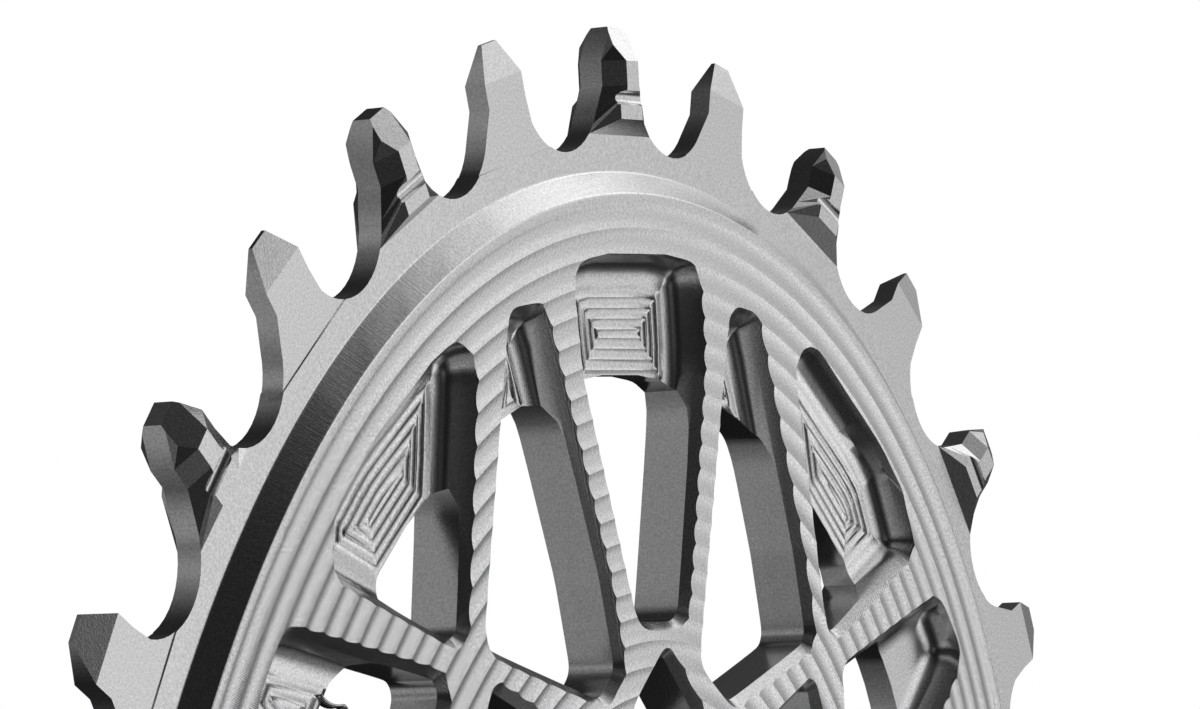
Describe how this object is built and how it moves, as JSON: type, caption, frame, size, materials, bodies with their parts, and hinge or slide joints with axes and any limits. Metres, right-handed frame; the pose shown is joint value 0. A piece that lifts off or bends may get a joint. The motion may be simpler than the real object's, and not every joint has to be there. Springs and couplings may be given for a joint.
{
  "type": "bicycle chainring",
  "caption": "Oval bicycle chainring with alternating narrow and wide teeth, a bevelled rim, a truss of pocketed windows and a bolted hub.",
  "frame": {"origin": "centre of the hub bore, on the plane of the back face, on which the ring lies flat", "axes": "+Z along the ring's axis, from the back face to the front face; +X and +Y lie in the ring's plane, with the windows that the picture shows towards +Y"},
  "size_m": [0.1216, 0.133, 0.0035],
  "materials": {
    "aluminium": "machined, fine milling marks"
  },
  "bodies": {
    "root": {"chainring": "aluminium"}
  },
  "joints": []
}
